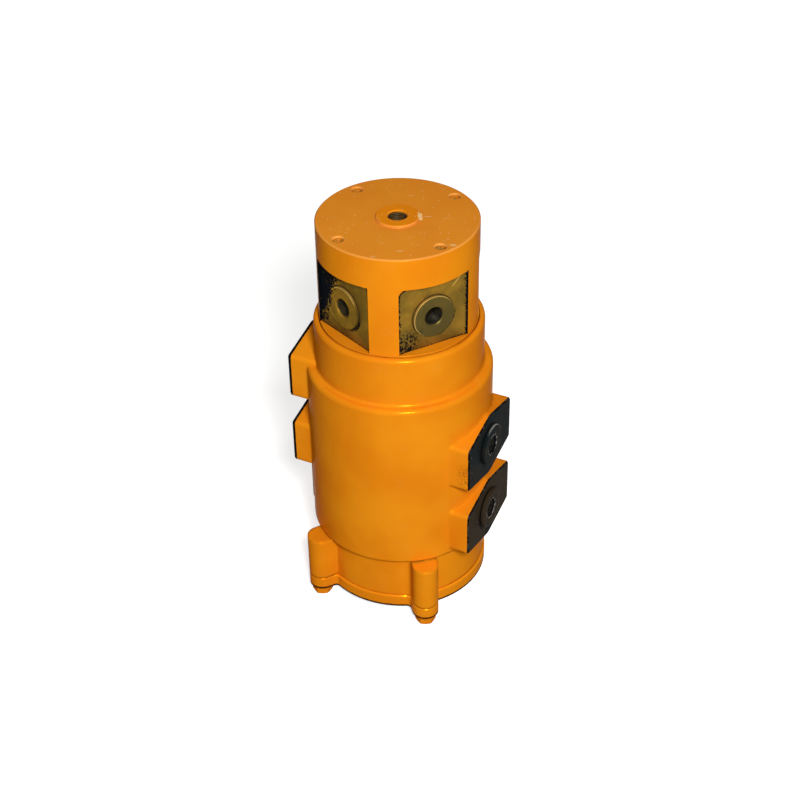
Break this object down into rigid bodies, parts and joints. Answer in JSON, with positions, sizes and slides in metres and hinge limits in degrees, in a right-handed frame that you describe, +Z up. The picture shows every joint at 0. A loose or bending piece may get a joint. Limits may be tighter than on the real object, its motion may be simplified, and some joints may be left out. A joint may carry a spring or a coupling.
{
  "type": "hydraulic rotary union",
  "caption": "Upright cylindrical hydraulic swivel joint with a ported turning head, side ports and lugged cover.",
  "frame": {"origin": "on the turning axis, level with the undersides of the cover bolt heads", "axes": "+Z up along the turning axis, -Y towards the front, +X to the right"},
  "size_m": [0.2274, 0.2218, 0.4375],
  "materials": {
    "orange_paint": "gloss",
    "steel": "satin",
    "bronze": "satin",
    "ptfe": "matte",
    "rubber": "matte"
  },
  "bodies": {
    "housing_body": {"housing": "orange_paint", "bottom_cover": "orange_paint", "cover_bolts": "orange_paint", "cover_spring_washers": "orange_paint", "cover_o_ring": "rubber", "upper_thrust_ring": "bronze", "lower_thrust_ring": "bronze", "upper_guide_bush": "bronze", "lower_guide_bush": "bronze", "slide_ring_1": "ptfe", "slide_ring_2": "ptfe", "slide_ring_3": "ptfe", "slide_ring_4": "ptfe", "slide_ring_5": "ptfe", "slide_ring_6": "ptfe", "energiser_ring_1": "rubber", "energiser_ring_2": "rubber", "energiser_ring_3": "rubber", "energiser_ring_4": "rubber", "energiser_ring_5": "rubber", "energiser_ring_6": "rubber"},
    "stem_body": {"stem": "orange_paint", "retainer_plate": "steel", "retainer_screws": "steel", "passage_plugs": "steel", "dust_seal": "rubber"}
  },
  "joints": [
    {"name": "stem_spin", "type": "hinge", "parent": "housing_body", "child": "stem_body", "pos_m": [0, 0, 0], "axis": [0, 0, 1], "continuous": true}
  ]
}
